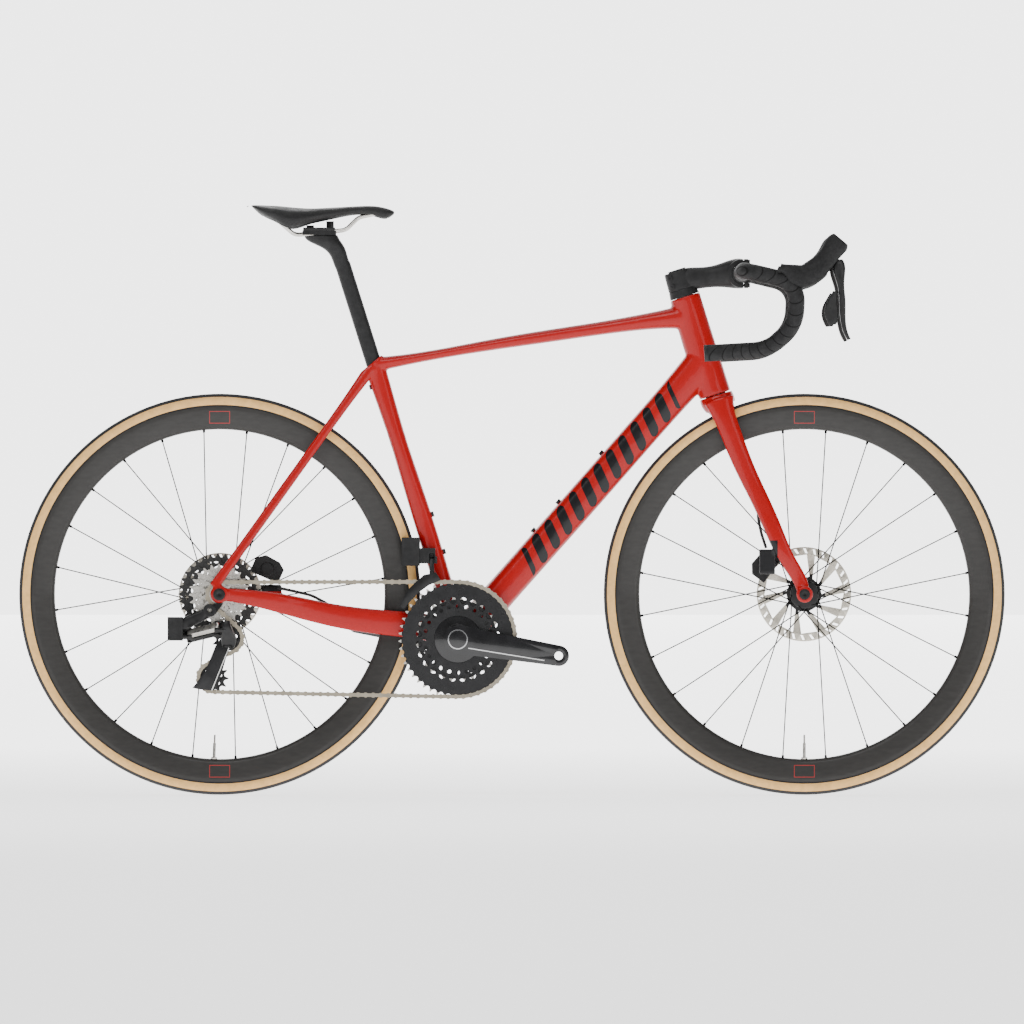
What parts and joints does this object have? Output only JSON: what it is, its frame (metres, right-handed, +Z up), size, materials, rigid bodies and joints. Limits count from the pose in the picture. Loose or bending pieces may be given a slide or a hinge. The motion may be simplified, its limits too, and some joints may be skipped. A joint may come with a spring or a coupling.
{
  "type": "road bicycle",
  "caption": "Road bicycle with a drop bar, disc brakes, deep rims and electronic derailleurs, shown without pedals.",
  "frame": {"origin": "on the ground midway between the two axles", "axes": "+X forward, +Y to the rider's left, +Z up"},
  "size_m": [1.6659, 0.444, 0.9968],
  "materials": {
    "frame_paint": "gloss flake over carbon",
    "tyre_casing": "matt tread with tan sidewalls",
    "rim_carbon": "matt carbon",
    "black_metal": "black anodised",
    "steel": "brushed",
    "chain_steel": "nickel plated",
    "spoke_black": "black",
    "cassette_steel": "plated, largest sprockets black",
    "crank_gloss": "gloss black with a silver line",
    "matt_carbon": "matt",
    "tape": "textured wrap",
    "hood_rubber": "matt ribbed",
    "saddle_skin": "smooth microfibre",
    "hose_black": "satin",
    "pad_compound": "sintered",
    "bearing_steel": "polished"
  },
  "bodies": {
    "frame": {"frame": "frame_paint", "frame_bearings": "bearing_steel", "frame_bolts": "black_metal", "rear_thru_axle": "black_metal", "derailleur_hanger": "black_metal", "rear_brake_caliper": "black_metal", "rear_brake_hose": "hose_black", "front_derailleur_body": "black_metal", "derailleur_batteries": "matt_carbon", "rear_derailleur_knuckle": "black_metal", "chain": "chain_steel"},
    "seatpost": {"seatpost": "matt_carbon", "saddle_rails": "steel", "saddle_clamp": "black_metal", "saddle_shell": "matt_carbon", "saddle_cover": "saddle_skin"},
    "fork": {"fork": "frame_paint", "front_thru_axle": "black_metal", "headset_spacer": "matt_carbon", "stem": "matt_carbon", "stem_faceplate": "matt_carbon", "stem_bolts": "black_metal", "handlebar": "matt_carbon", "bar_tape": "tape", "brake_hoods": "hood_rubber", "front_brake_caliper": "black_metal", "front_brake_hose": "hose_black"},
    "front_wheel": {"front_tyre": "tyre_casing", "front_rim": "rim_carbon", "front_spokes": "spoke_black", "front_hub": "black_metal", "front_rotor": "steel", "front_valve": "steel"},
    "rear_wheel": {"rear_tyre": "tyre_casing", "rear_rim": "rim_carbon", "rear_spokes": "spoke_black", "rear_hub": "black_metal", "rear_rotor": "steel", "rear_valve": "steel"},
    "cassette": {"freehub_body": "black_metal", "cassette_sprockets": "cassette_steel"},
    "crank": {"right_crank_arm": "crank_gloss", "left_crank_arm": "crank_gloss", "chainrings": "black_metal"},
    "rear_outer_link": {"rear_derailleur_outer_link": "steel"},
    "rear_inner_link": {"rear_derailleur_inner_link": "black_metal"},
    "rear_lower_knuckle": {"rear_derailleur_lower_knuckle": "black_metal"},
    "rear_cage": {"rear_derailleur_cage": "black_metal"},
    "guide_pulley": {"guide_pulley": "black_metal"},
    "tension_pulley": {"tension_pulley": "black_metal"},
    "front_link": {"front_derailleur_link": "black_metal"},
    "front_cage": {"front_derailleur_cage": "black_metal"},
    "left_lever": {"left_brake_lever": "black_metal"},
    "right_lever": {"right_brake_lever": "black_metal"},
    "left_paddle": {"left_shift_paddle": "matt_carbon"},
    "right_paddle": {"right_shift_paddle": "matt_carbon"},
    "front_outer_pad": {"front_outer_brake_pad": "pad_compound"},
    "front_inner_pad": {"front_inner_brake_pad": "pad_compound"},
    "rear_outer_pad": {"rear_outer_brake_pad": "pad_compound"},
    "rear_inner_pad": {"rear_inner_brake_pad": "pad_compound"}
  },
  "joints": [
    {"name": "seatpost_slide", "type": "slide", "parent": "frame", "child": "seatpost", "axis": [-0.3007, 0, 0.9537], "range_m": [-0.055, 0.04]},
    {"name": "steer", "type": "hinge", "parent": "frame", "child": "fork", "pos_m": [0.44896, 0, 0.339], "axis": [-0.2974, 0, 0.9548], "range_deg": [-55, 55]},
    {"name": "front_wheel_spin", "type": "hinge", "parent": "fork", "child": "front_wheel", "pos_m": [0.494, 0, 0.339], "axis": [0, 1, 0], "continuous": true},
    {"name": "rear_wheel_spin", "type": "hinge", "parent": "frame", "child": "rear_wheel", "pos_m": [-0.494, 0, 0.339], "axis": [0, 1, 0], "continuous": true},
    {"name": "crank_spin", "type": "hinge", "parent": "frame", "child": "crank", "pos_m": [-0.0915, 0, 0.263], "axis": [0, 1, 0], "continuous": true, "deforming": ["chain"]},
    {"name": "cassette_spin", "type": "hinge", "parent": "frame", "child": "cassette", "pos_m": [-0.494, 0, 0.339], "axis": [0, 1, 0], "continuous": true},
    {"name": "rear_outer_link_swing", "type": "hinge", "parent": "frame", "child": "rear_outer_link", "pos_m": [-0.544, -0.084, 0.273], "axis": [0, 0.6374, 0.7705], "range_deg": [0, 42]},
    {"name": "rear_inner_link_swing", "type": "hinge", "parent": "frame", "child": "rear_inner_link", "pos_m": [-0.544, -0.07398, 0.26471], "axis": [0, 0.6374, 0.7705], "range_deg": [0, 42]},
    {"name": "rear_knuckle_swing", "type": "hinge", "parent": "rear_outer_link", "child": "rear_lower_knuckle", "pos_m": [-0.49732, -0.09781, 0.28442], "axis": [0, 0.6374, 0.7705], "range_deg": [-42, 0]},
    {"name": "rear_cage_swing", "type": "hinge", "parent": "rear_lower_knuckle", "child": "rear_cage", "pos_m": [-0.479, -0.0665, 0.265], "axis": [0, 1, 0], "range_deg": [-45, 25], "stiffness_Nm_per_rad": 2},
    {"name": "guide_pulley_spin", "type": "hinge", "parent": "rear_cage", "child": "guide_pulley", "pos_m": [-0.479, -0.0665, 0.265], "axis": [0, 1, 0], "continuous": true},
    {"name": "tension_pulley_spin", "type": "hinge", "parent": "rear_cage", "child": "tension_pulley", "pos_m": [-0.50546, -0.0665, 0.1989], "axis": [0, 1, 0], "continuous": true},
    {"name": "front_link_swing", "type": "hinge", "parent": "frame", "child": "front_link", "pos_m": [-0.1355, -0.028, 0.397], "axis": [1, 0, 0], "range_deg": [0, 14]},
    {"name": "front_cage_swing", "type": "hinge", "parent": "front_link", "child": "front_cage", "pos_m": [-0.1355, -0.037, 0.367], "axis": [1, 0, 0], "range_deg": [-14, 0]},
    {"name": "left_lever_pull", "type": "hinge", "parent": "fork", "child": "left_lever", "pos_m": [0.5512, 0.204, 0.8989], "axis": [0, 1, 0], "range_deg": [0, 18], "stiffness_Nm_per_rad": 3},
    {"name": "left_paddle_push", "type": "hinge", "parent": "left_lever", "child": "left_paddle", "pos_m": [0.5545, 0.204, 0.83], "axis": [0, 0, 1], "range_deg": [0, 12], "stiffness_Nm_per_rad": 0.6},
    {"name": "right_lever_pull", "type": "hinge", "parent": "fork", "child": "right_lever", "pos_m": [0.5512, -0.204, 0.8989], "axis": [0, 1, 0], "range_deg": [0, 18], "stiffness_Nm_per_rad": 3},
    {"name": "right_paddle_push", "type": "hinge", "parent": "right_lever", "child": "right_paddle", "pos_m": [0.5545, -0.204, 0.83], "axis": [0, 0, -1], "range_deg": [0, 12], "stiffness_Nm_per_rad": 0.6},
    {"name": "front_outer_pad_slide", "type": "slide", "parent": "fork", "child": "front_outer_pad", "axis": [0, -1, 0], "range_m": [0, 0.0003]},
    {"name": "front_inner_pad_slide", "type": "slide", "parent": "fork", "child": "front_inner_pad", "axis": [0, 1, 0], "range_m": [0, 0.0003]},
    {"name": "rear_outer_pad_slide", "type": "slide", "parent": "frame", "child": "rear_outer_pad", "axis": [0, -1, 0], "range_m": [0, 0.0003]},
    {"name": "rear_inner_pad_slide", "type": "slide", "parent": "frame", "child": "rear_inner_pad", "axis": [0, 1, 0], "range_m": [0, 0.0003]}
  ],
  "couplings": [
    {"joint": "cassette_spin", "follows": "crank_spin", "ratio": 4.8},
    {"joint": "guide_pulley_spin", "follows": "crank_spin", "ratio": -4},
    {"joint": "tension_pulley_spin", "follows": "crank_spin", "ratio": 4},
    {"joint": "rear_inner_link_swing", "follows": "rear_outer_link_swing", "ratio": 1},
    {"joint": "rear_knuckle_swing", "follows": "rear_outer_link_swing", "ratio": -1},
    {"joint": "front_cage_swing", "follows": "front_link_swing", "ratio": -1},
    {"joint": "front_outer_pad_slide", "follows": "left_lever_pull", "m_per_rad": 0.000955},
    {"joint": "front_inner_pad_slide", "follows": "left_lever_pull", "m_per_rad": 0.000955},
    {"joint": "rear_outer_pad_slide", "follows": "right_lever_pull", "m_per_rad": 0.000955},
    {"joint": "rear_inner_pad_slide", "follows": "right_lever_pull", "m_per_rad": 0.000955}
  ]
}
